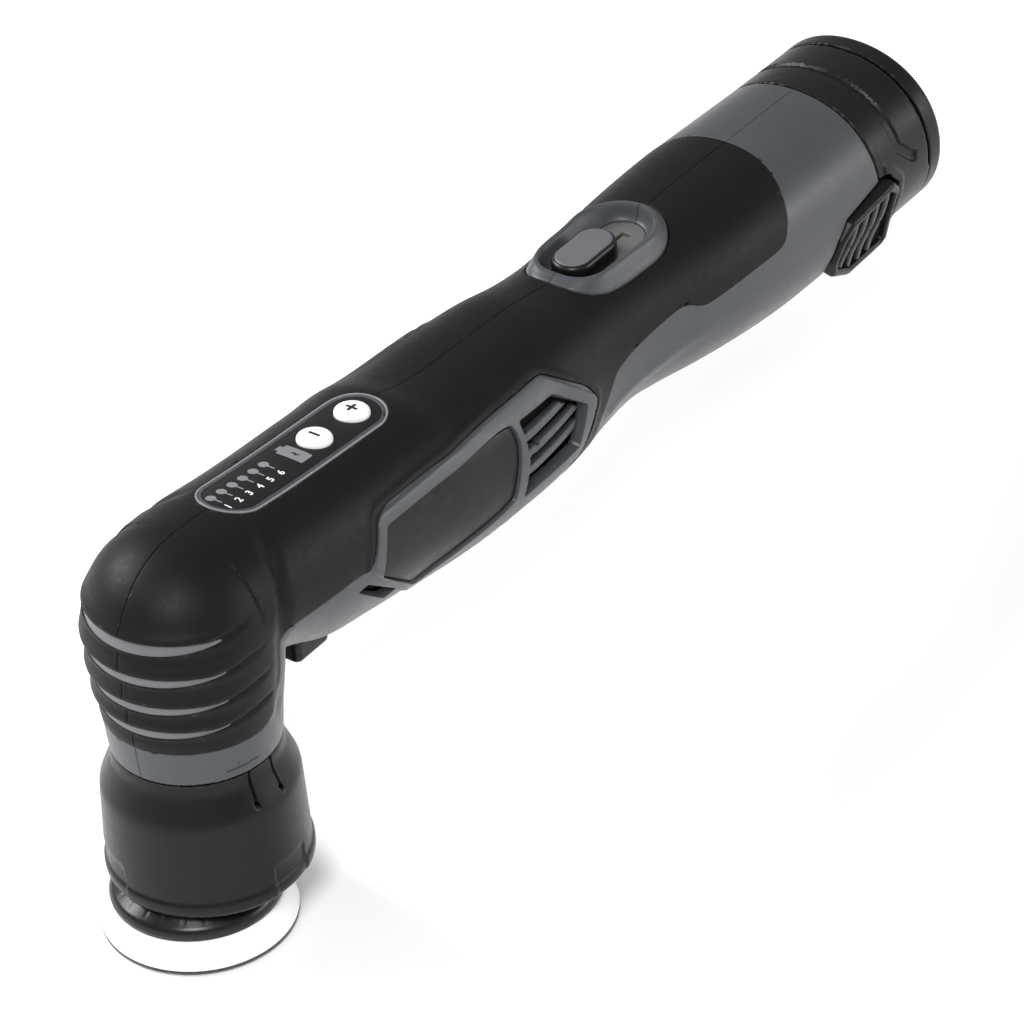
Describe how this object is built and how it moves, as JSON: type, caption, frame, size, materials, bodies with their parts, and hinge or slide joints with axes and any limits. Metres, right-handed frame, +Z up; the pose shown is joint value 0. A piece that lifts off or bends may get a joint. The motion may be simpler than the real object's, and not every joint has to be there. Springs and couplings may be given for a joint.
{
  "type": "dual action polisher",
  "caption": "Cordless mini dual action polisher: upright head with shroud and hook and loop backing plate, straight handle with speed panel, slide switch and slide-in battery.",
  "frame": {"origin": "on the spindle axis, in the plane of the backing plate's working face", "axes": "+Z up along the spindle, +X from the head along the handle, +Y to the left of the tool"},
  "size_m": [0.327, 0.0596, 0.1132],
  "materials": {
    "housing_grey": "satin",
    "grip_rubber": "matte",
    "black_plastic": "satin",
    "gloss_black": "gloss",
    "panel_black": "satin",
    "button_white": "satin",
    "pad_white": "satin",
    "hook_black": "matte",
    "steel": "ground",
    "aluminium": "cast",
    "brass": "satin",
    "magnet": "matte",
    "copper": "satin",
    "board_green": "satin",
    "cell_wrap": "satin",
    "screw": "satin"
  },
  "bodies": {
    "housing": {"housing_right": "housing_grey", "housing_left": "housing_grey", "grip_right": "grip_rubber", "grip_left": "grip_rubber", "side_plate_right": "gloss_black", "side_plate_left": "gloss_black", "panel_ring": "housing_grey", "control_panel": "panel_black", "housing_screws": "screw", "switch_bezel": "housing_grey", "switch_track": "black_plastic", "slide_switch_body": "black_plastic", "control_board": "board_green", "button_switches": "steel", "indicator_lamps": "button_white", "gear_case": "aluminium", "gear_case_cover": "aluminium", "gear_case_screws": "steel", "spindle_upper_bearing": "steel", "spindle_lower_bearing": "steel", "pinion_bearing": "steel", "motor_front_bearing": "steel", "motor_rear_bearing": "steel", "motor_can": "steel", "motor_magnets": "magnet", "motor_end_bell": "black_plastic", "motor_brushes": "magnet", "shroud": "black_plastic", "terminal_block": "black_plastic", "terminal_blades": "brass"},
    "rotor": {"motor_shaft": "steel", "rotor_core": "steel", "rotor_windings": "copper", "commutator": "copper", "cooling_fan": "black_plastic", "lock_collar": "steel", "pinion_gear": "steel"},
    "spindle_group": {"spindle": "steel", "bevel_gear": "steel", "eccentric_carrier": "steel", "pad_bearing": "steel"},
    "pad": {"pad_spindle": "steel", "pad_hub": "black_plastic", "backing_pad": "pad_white", "hook_face": "hook_black"},
    "switch_slider": {"switch_knob": "black_plastic"},
    "plus_key": {"plus_button": "button_white"},
    "minus_key": {"minus_button": "button_white"},
    "lock_key": {"lock_button": "black_plastic", "lock_spring": "steel"},
    "battery": {"battery_shell": "black_plastic", "battery_cap": "black_plastic", "battery_cells": "cell_wrap", "battery_board": "board_green"},
    "latch_r": {"latch_right": "black_plastic"},
    "latch_l": {"latch_left": "black_plastic"}
  },
  "joints": [
    {"name": "rotor_spin", "type": "hinge", "parent": "housing", "child": "rotor", "pos_m": [0, 0, 0.081], "axis": [1, 0, 0], "continuous": true},
    {"name": "spindle_spin", "type": "hinge", "parent": "housing", "child": "spindle_group", "pos_m": [0, 0, 0.06], "axis": [0, 0, 1], "continuous": true},
    {"name": "pad_spin", "type": "hinge", "parent": "spindle_group", "child": "pad", "pos_m": [-0.006, 0, 0.03], "axis": [0, 0, 1], "continuous": true},
    {"name": "switch_slide", "type": "slide", "parent": "housing", "child": "switch_slider", "axis": [1, 0, 0], "range_m": [0, 0.008]},
    {"name": "plus_press", "type": "slide", "parent": "housing", "child": "plus_key", "axis": [0, 0, -1], "range_m": [0, 0.0006], "stiffness_N_per_m": 2000},
    {"name": "minus_press", "type": "slide", "parent": "housing", "child": "minus_key", "axis": [0, 0, -1], "range_m": [0, 0.0006], "stiffness_N_per_m": 2000},
    {"name": "lock_press", "type": "slide", "parent": "housing", "child": "lock_key", "axis": [0, 0, 1], "range_m": [0, 0.0024], "stiffness_N_per_m": 1200, "deforming": ["lock_spring"]},
    {"name": "battery_slide", "type": "slide", "parent": "housing", "child": "battery", "axis": [1, 0, 0], "range_m": [0, 0.056]},
    {"name": "latch_right_press", "type": "slide", "parent": "battery", "child": "latch_r", "axis": [0, 0.9659, 0.2588], "range_m": [0, 0.0012], "stiffness_N_per_m": 2500},
    {"name": "latch_left_press", "type": "slide", "parent": "battery", "child": "latch_l", "axis": [0, -0.9659, 0.2588], "range_m": [0, 0.0012], "stiffness_N_per_m": 2500}
  ],
  "couplings": [
    {"joint": "rotor_spin", "follows": "spindle_spin", "ratio": 2}
  ]
}
